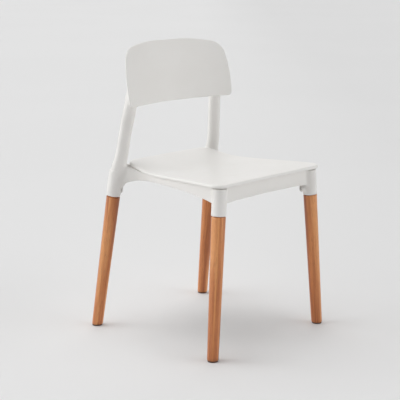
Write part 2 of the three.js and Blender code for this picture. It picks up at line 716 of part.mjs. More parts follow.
function makeBackScrews() {
  forBothSides(backScrewPlaces, ({ name, x, z }) => {
    const { place, direction } = backScrewFrame({ x, z });
    const bearing = BACK_HEAD_SEAT + GAP;
    const screw = addMesh(`back_screw_${name}`, turned(screwProfile(bearing + 1.8), 8), steel());
    aim(screw, place.clone().addScaledVector(direction, bearing), direction.clone().negate());
  });
}

// ---------- Assembly ----------

makeFrame();
makeSeat();
makeBack();
corners.forEach((corner) => {
  makeLeg(corner);
  makeGlide(corner);
  makeGlidePin(corner);
  makeBolt(corner);
  makeWasher(corner);
  makeInsert(corner);
});
makeSeatScrews();
makeBackScrews();

export default chair;
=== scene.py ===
"""Looks for the dining chair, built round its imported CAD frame.

Sizes are millimetres until new_piece() makes the mesh in metres. The sitter faces -Y, and +Z is up.
Every leg, glide, screw and bolt takes its place from the CAD node that it stands for.
"""

import math

import bpy
import numpy as np
from mathutils import Matrix, Vector


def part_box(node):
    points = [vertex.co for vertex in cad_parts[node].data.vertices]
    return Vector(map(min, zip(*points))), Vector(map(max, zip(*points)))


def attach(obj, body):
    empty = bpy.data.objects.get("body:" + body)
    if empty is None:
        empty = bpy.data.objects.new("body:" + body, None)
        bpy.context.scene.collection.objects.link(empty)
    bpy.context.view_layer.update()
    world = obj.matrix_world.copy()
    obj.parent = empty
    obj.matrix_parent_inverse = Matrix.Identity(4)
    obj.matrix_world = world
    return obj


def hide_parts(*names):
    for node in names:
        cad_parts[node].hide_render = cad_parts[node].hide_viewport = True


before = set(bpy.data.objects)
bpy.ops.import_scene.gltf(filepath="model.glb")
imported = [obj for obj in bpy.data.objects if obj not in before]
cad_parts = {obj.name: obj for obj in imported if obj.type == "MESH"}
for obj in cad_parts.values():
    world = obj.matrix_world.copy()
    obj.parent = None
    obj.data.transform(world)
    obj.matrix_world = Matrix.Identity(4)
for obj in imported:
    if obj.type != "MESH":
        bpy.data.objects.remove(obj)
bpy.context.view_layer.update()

# ---------- Driving dimensions, in millimetres ----------

MM = 0.001
GAP = 0.3

RIM_HEIGHT = 381
FOOT_RADIUS = 15.2
LEG_RADIUS = 18.8
TENON_RADIUS = 14
TENON_LENGTH = 42
SOCKET_RADIUS = 19.4
SOCKET_TOP = 451.5
GLIDE_RADIUS = 13.8
GLIDE_HEIGHT = 3.6
GLIDE_RECESS_DEPTH = 1.8
PIN_HEAD_RADIUS = 4.5
PIN_HEAD_START = 0.4
PIN_RADIUS = 1.6
PIN_LENGTH = 17

BOSS_RADIUS = 9
BOSS_REACH = {"front": 29, "rear": 22.5}
BOLT_RECESS_RADIUS = 6.4
BOLT_RECESS_DEPTH = 6
BOLT_RADIUS = 3
BOLT_HEAD_RADIUS = 5.3
BOLT_HEAD_HEIGHT = 3.2
BOLT_END_REACH = 2.5
HEX_SOCKET_APOTHEM = 1.75
HEX_SOCKET_DEPTH = 2
WASHER_RADIUS = 6
WASHER_THICKNESS = 1.2
INSERT_RADIUS = 5
INSERT_LENGTH = 12
INSERT_START = TENON_RADIUS - INSERT_LENGTH - 1

SEAT_FRONT = -238
SEAT_REAR = 160
SEAT_FRONT_HALF_WIDTH = 217
SEAT_REAR_HALF_WIDTH = 163
SEAT_CORNERS = (32, 32, 40, 40)
SEAT_HEIGHT = 465.5
SEAT_THICKNESS = 4.5
SEAT_RIM_DEPTH = 8.5
SEAT_RIM_WIDTH = 4
SEAT_DISH = 12
SEAT_REAR_RISE = 22
SEAT_FRONT_DROP = 1
SEAT_SHADOW_GAP = 1.4
SEAT_CLEARANCE = 1.5
SEAT_SPACE_HEIGHT = 16  # from the rails' tops to above the seat
SEAT_BOSS_RADIUS = 5.5
SEAT_BOSS_SKIN = 2.2
SEAT_UPPER_EDGE = (6, 6.8)  # how wide and deep the rounded edge is
SEAT_LOWER_EDGE = 1.2

RAIL_HALF_THICKNESS = 7
RAIL_WALL = 3.2
RAIL_TOP_SKIN = 4
SCREW_BEARING_DEPTH = 10

BACK_BOTTOM = 630
BACK_TOP = 799
BACK_BOTTOM_HALF_WIDTH = 204
BACK_TOP_HALF_WIDTH = 190
BACK_CORNERS = (11, 11, 34, 34)
BACK_SIDE_BULGE = 8
BACK_CENTRE_Y = 130
BACK_LEAN = 0.168
BACK_WRAP = 41
BACK_TOP_CROWN = 16
BACK_THICKNESS = 5.5
BACK_EDGE_ROUND = 4
BACK_BOSS_RADIUS = 6
BACK_BOSS_HEIGHT = 6
BACK_HEAD_SEAT = 13

SCREW_RADIUS = 2
SCREW_HEAD_RADIUS = 4
SCREW_HEAD_HEIGHT = 2.6
SCREW_HEAD_CLEARANCE = 0.8
CROSS_HALF_WIDTH = 0.55
CROSS_REACH = 2.3
CROSS_DEPTH = 1.4

# ---------- Places, from the CAD nodes ----------

CORNERS = ("front_left", "front_right", "rear_left", "rear_right")
WOOD_SEEDS = (1, 7, 3, 4)


def box_middle(node):
    low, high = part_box(node)
    return np.array((low + high) / 2) / MM


def unit(vector):
    return np.asarray(vector, float) / np.linalg.norm(vector)


def leg_axis(corner):
    """The middle of the foot on the floor, and the direction up the leg to the middle of its tenon's end."""
    foot = box_middle(f"{corner}_glide") * (1, 1, 0)
    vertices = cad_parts[f"{corner}_leg"].data.vertices
    points = np.array([v.co for v in vertices]) / MM - foot
    direction = np.array((0, 0, 1.0))
    for _ in range(5):
        height = points @ direction
        direction = unit(points[height > height.max() - 1].mean(axis=0))
    return foot, direction


def bolt_axis(corner):
    """Where the leg bolt's line meets the leg's axis, and the direction out through the bolt's head."""
    foot, direction = leg_axis(corner)
    bolt = box_middle(f"{corner}_leg_bolt")
    start = foot + direction * bolt[2] / direction[2]
    return start, unit(bolt - start)


# ---------- Surfaces of the seat and the back ----------


def blend(value, start, end):
    """0 before start and 1 after end, with a smooth step between them."""
    t = np.clip((value - start) / (end - start), 0, 1)
    return t * t * (3 - 2 * t)


def mix(a, b, t):
    return a + (b - a) * t


def seat_half_width(y):
    return mix(SEAT_FRONT_HALF_WIDTH, SEAT_REAR_HALF_WIDTH, (y - SEAT_FRONT) / (SEAT_REAR - SEAT_FRONT))


def seat_top(x, y):
    """The seat's upper surface: it dips across the middle, rises to the back and rolls down at the front."""
    across = (x / seat_half_width(y)) ** 2
    share = mix(mix(1, 0.55, across), 0.75, blend(y, 50, SEAT_REAR))
    dish = SEAT_DISH * share * blend(y, SEAT_FRONT + 10, 30)
    rise = SEAT_REAR_RISE * blend(y, mix(20, 40, across), SEAT_REAR + 30)
    roll = SEAT_FRONT_DROP * (1 - blend(y, SEAT_FRONT, SEAT_FRONT + 40))
    return SEAT_HEIGHT - dish + rise - roll


def rail_top(x, y):
    return seat_top(x, y) - SEAT_RIM_DEPTH - SEAT_SHADOW_GAP


def back_face(x, z):
    """y of the back's front face: wrapped round the sitter and leaning back."""
    return BACK_CENTRE_Y + BACK_LEAN * (z - BACK_BOTTOM) - BACK_WRAP * (x / BACK_BOTTOM_HALF_WIDTH) ** 2


def back_normal(x, z):
    slope = 2 * BACK_WRAP * x / BACK_BOTTOM_HALF_WIDTH**2
    return unit((slope, 1, -BACK_LEAN))


# ---------- Mesh helpers ----------


def new_piece(name, points, faces, place=None):
    """A smooth piece from points in millimetres, on the root body. place is its matrix, in metres."""
    mesh = bpy.data.meshes.new(name)
    polygons = [tuple(int(i) for i in face) for face in faces]
    mesh.from_pydata((np.asarray(points, float) * MM).tolist(), [], polygons)
    mesh.shade_smooth()
    piece = bpy.data.objects.new(name, mesh)
    bpy.context.scene.collection.objects.link(piece)
    if place is not None:
        piece.matrix_world = place
    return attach(piece, "root")


def finish_piece(piece, node, material):
    """The piece stands for its CAD node and a material."""
    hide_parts(node)
    piece.data.materials.append(material)
    return piece


def skin(rings):
    """A closed skin over rings with equal numbers of points, anticlockwise as seen from the last ring."""
    rings = np.asarray(rings, float)
    levels, count = rings.shape[:2]
    points = np.vstack([rings.reshape(-1, 3), rings[0].mean(axis=0), rings[-1].mean(axis=0)])
    start, end, last = levels * count, levels * count + 1, (levels - 1) * count
    faces = []
    for level in range(levels - 1):
        for i in range(count):
            a, b = level * count + i, level * count + (i + 1) % count
            faces.append((a, b, b + count, a + count))
    for i in range(count):
        after = (i + 1) % count
        faces.append((start, after, i))
        faces.append((end, last + i, last + after))
    return points, faces


def looped(rings):
    """A closed skin over rings that come back round to the first, such as a washer's or a tube's."""
    rings = np.asarray(rings, float)
    levels, count = rings.shape[:2]
    faces = []
    for level in range(levels):
        above = ((level + 1) % levels - level) * count
        for i in range(count):
            a, b = level * count + i, level * count + (i + 1) % count
            faces.append((a, b, b + above, a + above))
    return rings.reshape(-1, 3), faces


def joined(*shells):
    """The points and faces of several closed shells, as one mesh."""
    points, faces, start = [], [], 0
    for shell_points, shell_faces in shells:
        points.append(shell_points)
        faces += [tuple(i + start for i in face) for face in shell_faces]
        start += len(shell_points)
    return np.vstack(points), faces


def rounded_outline(corner_points, radii, arc_steps, side_steps):
    """A straight-sided outline with rounded corners, anticlockwise."""
    corner_points = np.asarray(corner_points, float)
    arcs = []
    for i, corner in enumerate(corner_points):
        before = unit(corner_points[i - 1] - corner)
        after = unit(corner_points[(i + 1) % len(corner_points)] - corner)
        half = math.acos(before @ after) / 2
        reach = radii[i] / math.tan(half)
        centre = corner + unit(before + after) * radii[i] / math.sin(half)
        first, second = corner + before * reach - centre, corner + after * reach - centre
        start = math.atan2(first[1], first[0])
        sweep = (math.atan2(second[1], second[0]) - start) % math.tau
        angles = start + sweep * np.linspace(0, 1, arc_steps + 1)
        arcs.append(centre + radii[i] * np.stack([np.cos(angles), np.sin(angles)], axis=1))
    outline = []
    for i, arc in enumerate(arcs):
        t = np.linspace(0, 1, side_steps + 1)[1:-1, None]
        outline += [arc, mix(arc[-1], arcs[(i + 1) % len(arcs)][0], t)]
    return np.vstack(outline)


def outline_normals(outline):
    """Unit vectors into the outline from each of its points."""
    along = np.roll(outline, -1, axis=0) - np.roll(outline, 1, axis=0)
    inward = np.stack([-along[:, 1], along[:, 0]], axis=1)
    return inward / np.linalg.norm(inward, axis=1, keepdims=True)


def edge_arc(width, depth, steps, power=2.0):
    """[inset, drop] pairs round a convex edge, from its side to the face it runs into."""
    angles = np.linspace(0, math.pi / 2, steps + 1)
    inset = width * (1 - np.cos(angles) ** (2 / power))
    drop = depth * (1 - np.sin(angles) ** (2 / power))
    return list(zip(inset, drop))


# ---------- Moulded shapes, as signed distances ----------


def length(*parts):
    return np.sqrt(sum(part * part for part in parts))


def smooth_min(a, b, fillet):
    h = np.clip(0.5 + 0.5 * (b - a) / fillet, 0, 1)
    return mix(b, a, h) - fillet * h * (1 - h)


def smooth_max(a, b, fillet):
    return -smooth_min(-a, -b, fillet)


def rounded_both(a, b, radius):
    """Distance to what lies within both distances, its outer edge rounded."""
    a, b = a + radius, b + radius
    return np.minimum(np.maximum(a, b), 0) + length(np.maximum(a, 0), np.maximum(b, 0)) - radius


def cylinder(start, direction, radius, low, high, edge=0.8):
    """A round bar about a line, from low to high along it."""

    def distance(x, y, z):
        px, py, pz = x - start[0], y - start[1], z - start[2]
        along = px * direction[0] + py * direction[1] + pz * direction[2]
        across = length(px - along * direction[0], py - along * direction[1], pz - along * direction[2])
        return rounded_both(across - radius, np.abs(along - (low + high) / 2) - (high - low) / 2, edge)

    return distance


def curve(value, places, heights):
    """A smooth curve through (place, height) pairs."""
    places, heights = np.asarray(places, float), np.asarray(heights, float)
    slopes = np.gradient(heights, places)
    value = np.clip(value, places[0], places[-1])
    i = np.clip(np.searchsorted(places, value, side="right") - 1, 0, len(places) - 2)
    step = places[i + 1] - places[i]
    t = (value - places[i]) / step
    rise = heights[i + 1] - heights[i]
    ease = t * t * (3 - 2 * t)
    start, end = (t - 2 * t * t + t**3) * step * slopes[i], (t**3 - t * t) * step * slopes[i + 1]
    return heights[i] + rise * ease + start + end


# Middle line of each rail on the sitter's left, as [x, y, height of its lower edge]. The others mirror these.
RAIL_LINES = {
    "front": [(0, -216, 415), (80, -215, 414), (150, -213, 411), (178, -212, 408)],
    "rear": [(0, 146, 434), (80, 147, 432), (150, 152, 424), (184, 158, 410)],
    "side": [
        (186, -206, 408), (184.5, -165, 417), (178, -90, 426), (168, -10, 429), (161, 45, 430),
        (160.5, 78, 429.5), (167, 108, 427), (180, 137, 418), (192, 160, 404),
    ],
}
RAIL_STEPS = 40
RAIL_EDGE = 2.5
RAIL_CHANNEL_DEPTH = 60  # runs out below every rail
SOFT_EDGE = 1.5  # of sockets, bosses, pads and the rails' channels
CUT_EDGE = 1  # of wide cuts
HOLE_EDGE = 0.5  # of narrow holes, and where the posts meet the back
RAIL_FILLET = 12
SOCKET_FILLET = {"front": 7, "rear": 14}
POST_FILLET = 4
PAD_FILLET = 8
BOSS_FILLET = 5
SCREW_BOSS_RADIUS = 6
SCREW_BOSS_FILLET = 2
LONG_CUT = 20  # how far a cut runs past the face that it opens


def rail(line, half_thickness, below_top, below_edge, edge):
    """An upright bar along a line in plan, under the seat. below_edge drops its lower edge."""
    stations = np.array(line, float)
    run = np.append(0, np.cumsum(np.linalg.norm(np.diff(stations[:, :2], axis=0), axis=1)))
    fine = np.linspace(0, run[-1], RAIL_STEPS)
    path = np.stack([curve(fine, run, stations[:, k]) for k in range(3)], axis=1)

    def distance(x, y, z):
        nearest, low = np.inf, 0
        for (ax, ay, alow), (bx, by, blow) in zip(path[:-1], path[1:]):
            ex, ey = bx - ax, by - ay
            t = np.clip(((x - ax) * ex + (y - ay) * ey) / (ex * ex + ey * ey), 0, 1)
            reach = length(x - ax - t * ex, y - ay - t * ey)
            closer = reach < nearest
            nearest, low = np.where(closer, reach, nearest), np.where(closer, mix(alow, blow, t), low)
        upright = np.maximum(z - rail_top(x, y) + below_top, low - below_edge - z)
        return rounded_both(nearest - half_thickness, upright, edge)

    return distance


# Sections of a post up its height: how far in and forward of the leg's axis, and its two half widths.
POST_SECTIONS = np.array([
    (390, 0, 0, 18.4, 18.4), (415, 0, 0, 19.6, 19.4), (445, 1.4, 1.4, 19.6, 19.3),
    (477, 4, 5.8, 18.5, 18.4), (499, 5, 8.2, 17.7, 17.8), (522, 5.9, 8.4, 17.2, 17.4),
    (544, 6.8, 8.3, 17.4, 17.3), (566, 8.4, 8.7, 17.4, 17.2), (588, 9.9, 8.8, 18.2, 17.2),
    (611, 11.9, 9.4, 18.3, 17.1), (633, 13.8, 9.9, 17.4, 16.8), (655, 16.1, 10.7, 14.6, 15.6),
    (670, 17.2, 9.1, 12.6, 13.6), (679, 17.8, 7.1, 10, 10.8), (684, 18, 6.4, 7.5, 7.5),
])
POST_TOP = 684
POST_SQUARENESS = 2.5
PAD_INWARD = 14
PAD_WIDTHS = [(634, 13), (655, 15.5), (676, 12)]
PAD_MIDDLE = 656
PAD_HALF_HEIGHT = 22
PAD_CORNER = 5


def post(foot, direction):
    """A post that rises from round, in its socket, to a soft square turned 45 degrees, and a domed top."""

    def distance(x, y, z):
        heights = POST_SECTIONS[:, 0]
        inward, forward, along, across = (curve(z, heights, column) for column in POST_SECTIONS.T[1:])
        px = x - foot[0] - z * direction[0] / direction[2] + inward
        py = y - foot[1] - z * direction[1] / direction[2] + forward
        u, v = np.abs(px + py) / math.sqrt(2), np.abs(py - px) / math.sqrt(2)
        power = mix(2, POST_SQUARENESS, blend(z, 420, 500))
        size = np.maximum(((u / along) ** power + (v / across) ** power) ** (1 / power), 0.05)
        steepness = length(u ** (power - 1) / along**power, v ** (power - 1) / across**power)
        slope = size ** (1 - power) * steepness
        side = (size - 1) / np.maximum(slope, 0.02)
        return smooth_max(smooth_max(side, z - POST_TOP, 8), POST_SECTIONS[0, 0] - z, 2)

    return distance


def post_pad(foot, direction):
    """The pad that carries a post's head forward to the back panel."""

    def distance(x, y, z):
        px = x - foot[0] - z * direction[0] / direction[2] + PAD_INWARD
        middle = foot[1] + z * direction[1] / direction[2]
        heights, widths = zip(*PAD_WIDTHS)
        front = back_face(x, z) + BACK_THICKNESS + GAP
        across = np.abs(px) - curve(z, heights, widths)
        upright = np.abs(z - PAD_MIDDLE) - PAD_HALF_HEIGHT
        sides = rounded_both(across, upright, PAD_CORNER)
        return rounded_both(sides, np.maximum(front - y, y - middle), SOFT_EDGE)

    return distance


def seat_space(x, y, z):
    """The space over the frame that the seat and its shadow gap take."""
    beside = np.abs(x) - seat_half_width(y) - SEAT_CLEARANCE
    plan = rounded_both(beside, y - SEAT_REAR - SEAT_CLEARANCE, SEAT_CORNERS[2])
    outside = np.maximum(plan, SEAT_FRONT - y)
    above = z - rail_top(x, y)
    return rounded_both(outside, np.maximum(-above, above - SEAT_SPACE_HEIGHT), CUT_EDGE)


def back_space(x, y, z):
    """The space that the back panel and all ahead of it takes."""
    return np.maximum(y - back_face(x, z) - BACK_THICKNESS - GAP, BACK_BOTTOM - GAP - z)


def screw_places(kind):
    """The screws of one kind on the sitter's left, as the middles of their CAD nodes."""
    return [box_middle(n) for n in sorted(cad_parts) if n.startswith(kind) and n.endswith("_left")]


UP = np.array((0, 0, 1.0))


def frame_distance(x, y, z):
    """Signed distance to the moulded frame. It is the same on both sides of the chair."""
    x = np.abs(x)
    body = 100.0
    for line in RAIL_LINES.values():
        solid = rail(line, RAIL_HALF_THICKNESS, 0, 0, RAIL_EDGE)(x, y, z)
        body = smooth_min(body, solid, RAIL_FILLET)
    for line in RAIL_LINES.values():
        inside = RAIL_HALF_THICKNESS - RAIL_WALL
        hollow = rail(line, inside, RAIL_TOP_SKIN, RAIL_CHANNEL_DEPTH, SOFT_EDGE)(x, y, z)
        body = smooth_max(body, -hollow, SOFT_EDGE)

    for end in ("front", "rear"):
        foot, direction = leg_axis(f"{end}_left")
        rim = foot + direction * RIM_HEIGHT / direction[2]
        top = (SOCKET_TOP - RIM_HEIGHT) / direction[2]
        socket = cylinder(rim, direction, SOCKET_RADIUS, 0, top, SOFT_EDGE)(x, y, z)
        if end == "rear":
            socket = smooth_min(socket, post(foot, direction)(x, y, z), POST_FILLET)
            socket = smooth_min(socket, post_pad(foot, direction)(x, y, z), PAD_FILLET)
        body = smooth_min(body, socket, SOCKET_FILLET[end])

    for end in ("front", "rear"):
        foot, direction = leg_axis(f"{end}_left")
        rim = foot + direction * RIM_HEIGHT / direction[2]
        start, outward = bolt_axis(f"{end}_left")
        reach = BOSS_REACH[end]
        boss = cylinder(start, outward, BOSS_RADIUS, 0, reach, SOFT_EDGE)
        body = smooth_min(body, boss(x, y, z), BOSS_FILLET)
        bore = cylinder(rim, direction, TENON_RADIUS + GAP, -LONG_CUT, TENON_LENGTH + 1)
        body = smooth_max(body, -bore(x, y, z), CUT_EDGE)
        hole = cylinder(start, outward, BOLT_RADIUS + GAP, 0, reach + LONG_CUT)
        body = smooth_max(body, -hole(x, y, z), HOLE_EDGE)
        recess = cylinder(start, outward, BOLT_RECESS_RADIUS, reach - BOLT_RECESS_DEPTH, reach + LONG_CUT)
        body = smooth_max(body, -recess(x, y, z), CUT_EDGE)

    for place in screw_places("seat_screw"):
        top = float(rail_top(place[0], place[1]))
        bearing = top - SCREW_BEARING_DEPTH
        spot = np.array((place[0], place[1], 0.0))
        boss = cylinder(spot, UP, SCREW_BOSS_RADIUS, bearing, top - 1)
        body = smooth_min(body, boss(x, y, z), SCREW_BOSS_FILLET)
        mouth = cylinder(spot, UP, SCREW_HEAD_RADIUS + SCREW_HEAD_CLEARANCE, bearing - 2 * LONG_CUT, bearing)
        body = smooth_max(body, -mouth(x, y, z), HOLE_EDGE)
        hole = cylinder(spot, UP, SCREW_RADIUS + GAP, bearing - 5, top + LONG_CUT)
        body = smooth_max(body, -hole(x, y, z), HOLE_EDGE)

    body = smooth_max(body, -seat_space(x, y, z), CUT_EDGE)
    body = smooth_max(body, -back_space(x, y, z), HOLE_EDGE)
    for place in screw_places("back_screw"):
        start, outward = back_screw_frame(place)
        pocket = cylinder(start, outward, BACK_BOSS_RADIUS + GAP, -5, BACK_BOSS_HEIGHT + GAP)
        body = smooth_max(body, -pocket(x, y, z), HOLE_EDGE)
        hole = cylinder(start, outward, SCREW_RADIUS + GAP, 0, BACK_HEAD_SEAT + LONG_CUT)
        body = smooth_max(body, -hole(x, y, z), HOLE_EDGE)
        mouth = cylinder(start, outward, SCREW_HEAD_RADIUS + SCREW_HEAD_CLEARANCE, BACK_HEAD_SEAT, 60)
        body = smooth_max(body, -mouth(x, y, z), CUT_EDGE)
    return body


def back_screw_frame(middle):
    """Where a back screw's line leaves the panel's rear face, and the direction out of it."""
    x, z = middle[0], middle[2]
    for _ in range(4):
        start = np.array((x, back_face(x, z) + BACK_THICKNESS, z))
        outward = back_normal(x, z)
        miss = middle - start
        miss = miss - outward * (miss @ outward)
        x, z = x + miss[0], z + miss[2]
    return start, outward


# ---------- From distances to a mesh ----------

VOXEL = 2.0


def surface_mesh(distance, low, high, step):
    """A quad mesh over the zero level of a distance that is the same at x and -x."""
    half_x = np.arange(0, high[0] + step, step, dtype=np.float32)
    ys = np.arange(low[1], high[1] + step, step, dtype=np.float32)
    zs = np.arange(low[2], high[2] + step, step, dtype=np.float32)
    half = distance(half_x[:, None, None], ys[None, :, None], zs[None, None, :])
    values = np.concatenate([half[:0:-1], half])
    origin = np.array((-half_x[-1], ys[0], zs[0]))
    inside = values < 0

    # One vertex for each cell that the surface crosses, at the middle of its edges' crossings.
    shape = np.array(values.shape) - 1
    total, hits = np.zeros((*shape, 3)), np.zeros(shape)
    corners = [(i, j, k) for i in (0, 1) for j in (0, 1) for k in (0, 1)]
    window = lambda array, c: array[c[0]:c[0] + shape[0], c[1]:c[1] + shape[1], c[2]:c[2] + shape[2]]
    for a in corners:
        for axis in range(3):
            if a[axis]:
                continue
            b = tuple(1 if n == axis else a[n] for n in range(3))
            crossed = window(inside, a) != window(inside, b)
            va, vb = window(values, a)[crossed], window(values, b)[crossed]
            spot = np.tile(np.array(a, float), (len(va), 1))
            spot[:, axis] += va / (va - vb)
            total[crossed] += spot
            hits[crossed] += 1
    cells = np.argwhere(hits > 0)
    index = np.full(shape, -1)
    index[tuple(cells.T)] = np.arange(len(cells))
    points = origin + (cells + total[tuple(cells.T)] / hits[tuple(cells.T)][:, None]) * step

    # One quad for each grid edge that the surface crosses, between the four cells round it.
    quads = []
    for axis in range(3):
        first, second = (axis + 1) % 3, (axis + 2) % 3
        here = [slice(1, -1)] * 3
        here[axis] = slice(0, -1)
        there = list(here)
        there[axis] = slice(1, None)
        a, b = inside[tuple(here)], inside[tuple(there)]
        edges = np.argwhere(a != b) + np.array([0 if n == axis else 1 for n in range(3)])
        leaving = a[a != b]
        ring = []
        for back_first, back_second in ((1, 1), (0, 1), (0, 0), (1, 0)):
            cell = edges.copy()
            cell[:, first] -= back_first
            cell[:, second] -= back_second
            ring.append(index[tuple(cell.T)])
        quad = np.stack(ring, axis=1)
        quads.append(np.where(leaving[:, None], quad, quad[:, ::-1]))
    return points, np.vstack(quads)


def settle(points, distance, rounds=3):
    """Moves points onto the zero level, along its slope."""
    nudge = 0.05
    for _ in range(rounds):
        x, y, z = points.T
        value = distance(x, y, z)
        slope = np.stack([
            distance(x + nudge, y, z) - value,
            distance(x, y + nudge, z) - value,
            distance(x, y, z + nudge) - value,
        ], axis=1) / nudge
        step = value[:, None] * slope / np.maximum((slope**2).sum(axis=1, keepdims=True), 0.3)
        points = points - np.clip(step, -0.6, 0.6)
    return points


def relax(points, quads, share=0.5):
    """Moves each point part of the way to the middle of its neighbours."""
    total, count = np.zeros_like(points), np.zeros(len(points))
    for i in range(4):
        a, b = quads[:, i], quads[:, (i + 1) % 4]
        np.add.at(total, a, points[b])
        np.add.at(total, b, points[a])
        np.add.at(count, a, 1)
        np.add.at(count, b, 1)
    return mix(points, total / count[:, None], share)


def make_frame(material):
    low, high = (np.array(corner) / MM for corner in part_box("chair_frame"))
    points, quads = surface_mesh(frame_distance, low - 6, high + 6, VOXEL)
    points = settle(relax(points, quads), frame_distance)
    piece = new_piece("moulded_frame", points, quads)
    return finish_piece(piece, "chair_frame", material)


# ---------- Turned shapes ----------

SIDES = 72
UP_VECTOR = Vector((0, 0, 1))


def turned_rings(profile, sides=SIDES):
    """Rings about the Z axis, from [radius, height] pairs."""
    angles = np.linspace(0, math.tau, sides, endpoint=False)
    circle = np.stack([np.cos(angles), np.sin(angles)], axis=1)
    return [np.column_stack([circle * radius, np.full(sides, height)]) for radius, height in profile]


def placing(start, direction):
    """The matrix, in metres, that puts a piece made about Z on a line."""
    turn = UP_VECTOR.rotation_difference(Vector(direction)).to_matrix().to_4x4()
    return Matrix.Translation(Vector(start) * MM) @ turn


def tube(outer, inner, low, high, edge=0.3, sides=SIDES):
    """A closed tube about Z, its outer edges rounded."""
    profile = [(outer - edge, low), (outer - edge * 0.3, low + edge * 0.3), (outer, low + edge)]
    profile += [(outer, high - edge), (outer - edge * 0.3, high - edge * 0.3), (outer - edge, high)]
    profile += [(inner + edge / 2, high), (inner, high - edge / 2)]
    profile += [(inner, low + edge / 2), (inner + edge / 2, low)]
    return looped(turned_rings(profile, sides))


def moved(shell, start, direction):
    """A shell made about Z, put on a line in millimetres."""
    points, faces = shell
    turn = np.array(UP_VECTOR.rotation_difference(Vector(direction)).to_matrix())
    return points @ turn.T + start, faces


# ---------- Seat and back panels ----------

RING_STEPS = 22


def panel_rings(outline, middle, edges, faces, place):
    """Rings over a closed panel: out from its middle on one face, round its edge, and in over the other.
    edges holds [inset, depth] pairs, faces the two depths, and place puts [x, y, depth] on the panel."""
    inward = outline_normals(outline)
    last = len(edges) - 1
    shares = np.linspace(0, 1, RING_STEPS + 1)[1:-1]
    at = lambda inset: outline + inward * inset
    first_ring, last_ring = at(edges[0][0]), at(edges[last][0])
    rings = [place(mix(middle, first_ring, share), faces[0]) for share in shares]
    rings += [place(at(inset), depth) for inset, depth in edges]
    rings += [place(mix(middle, last_ring, share), faces[1]) for share in shares[::-1]]
    return rings


def seat_outline():
    front, rear = SEAT_FRONT_HALF_WIDTH, SEAT_REAR_HALF_WIDTH
    points = [(-front, SEAT_FRONT), (front, SEAT_FRONT), (rear, SEAT_REAR), (-rear, SEAT_REAR)]
    return rounded_outline(points, SEAT_CORNERS, 14, 22)


def make_seat(material):
    def place(plan, drop):
        return np.column_stack([plan, seat_top(plan[:, 0], plan[:, 1]) - drop])

    rim = [(SEAT_RIM_WIDTH + 3, SEAT_THICKNESS), (SEAT_RIM_WIDTH + 1, SEAT_THICKNESS + 0.6)]
    rim += [(SEAT_RIM_WIDTH, SEAT_THICKNESS + 2), (SEAT_RIM_WIDTH - 0.2, SEAT_RIM_DEPTH - 0.6)]
    rim += [(SEAT_RIM_WIDTH - 0.8, SEAT_RIM_DEPTH)]
    lower_edge = edge_arc(SEAT_LOWER_EDGE, SEAT_LOWER_EDGE, 4)
    lower = [(inset, SEAT_RIM_DEPTH - drop) for inset, drop in lower_edge[::-1]]
    upper = edge_arc(*SEAT_UPPER_EDGE, 10, 2.3)
    middle = np.array((0, (SEAT_FRONT + SEAT_REAR) / 2))
    rings = panel_rings(seat_outline(), middle, rim + lower + upper, (SEAT_THICKNESS, 0), place)
    shells = [skin(rings)]
    for spot in screw_places("seat_screw"):
        low, high = float(rail_top(*spot[:2])) + GAP, float(seat_top(*spot[:2])) - SEAT_THICKNESS / 2
        for side in (1, -1):
            boss = tube(SEAT_BOSS_RADIUS, SCREW_RADIUS + GAP, low, high, sides=40)
            shells.append(moved(boss, (side * spot[0], spot[1], 0), UP))
    piece = new_piece("seat_shell", *joined(*shells))
    return finish_piece(piece, "seat_panel", material)


def back_outline():
    bottom, top = BACK_BOTTOM_HALF_WIDTH, BACK_TOP_HALF_WIDTH
    points = [(-bottom, BACK_BOTTOM), (bottom, BACK_BOTTOM), (top, BACK_TOP), (-top, BACK_TOP)]
    outline = rounded_outline(points, BACK_CORNERS, 14, 22)
    height = BACK_TOP - BACK_BOTTOM
    x, z = outline.T
    bulge = BACK_SIDE_BULGE * np.sin(math.pi * (z - BACK_BOTTOM) / height) * x / BACK_BOTTOM_HALF_WIDTH
    crown = BACK_TOP_CROWN * blend(z, BACK_BOTTOM + height / 2, BACK_TOP) * blend(np.abs(x), 60, 230)
    return np.column_stack([x + bulge, z - crown])


def make_back(material):
    def place(upright, depth):
        x, z = upright.T
        return np.column_stack([x, back_face(x, z) + depth, z])

    to_front = edge_arc(BACK_EDGE_ROUND, BACK_THICKNESS / 2, 8, 2.2)
    to_side = [(inset, BACK_THICKNESS - depth) for inset, depth in to_front[::-1]]
    middle = np.array((0, (BACK_BOTTOM + BACK_TOP) / 2))
    rings = panel_rings(back_outline(), middle, to_side + to_front[1:], (BACK_THICKNESS, 0), place)
    shells = [skin(rings)]
    for spot in screw_places("back_screw"):
        start, outward = back_screw_frame(spot)
        for side in (1, -1):
            boss = tube(BACK_BOSS_RADIUS, SCREW_RADIUS + GAP, -BACK_THICKNESS / 2, BACK_BOSS_HEIGHT, sides=40)
            shells.append(moved(boss, start * (side, 1, 1), outward * (side, 1, 1)))
    piece = new_piece("back_shell", *joined(*shells))
    return finish_piece(piece, "back_panel", material)


# ---------- Legs and fittings ----------

SHOULDER_GROOVE = {"front": 1.8, "rear": 3.0}
FOOT_EDGE = ((4, 0), (1.8, 0), (0.6, 0.5), (0, 1.8))  # [in from the foot's radius, up from its end]


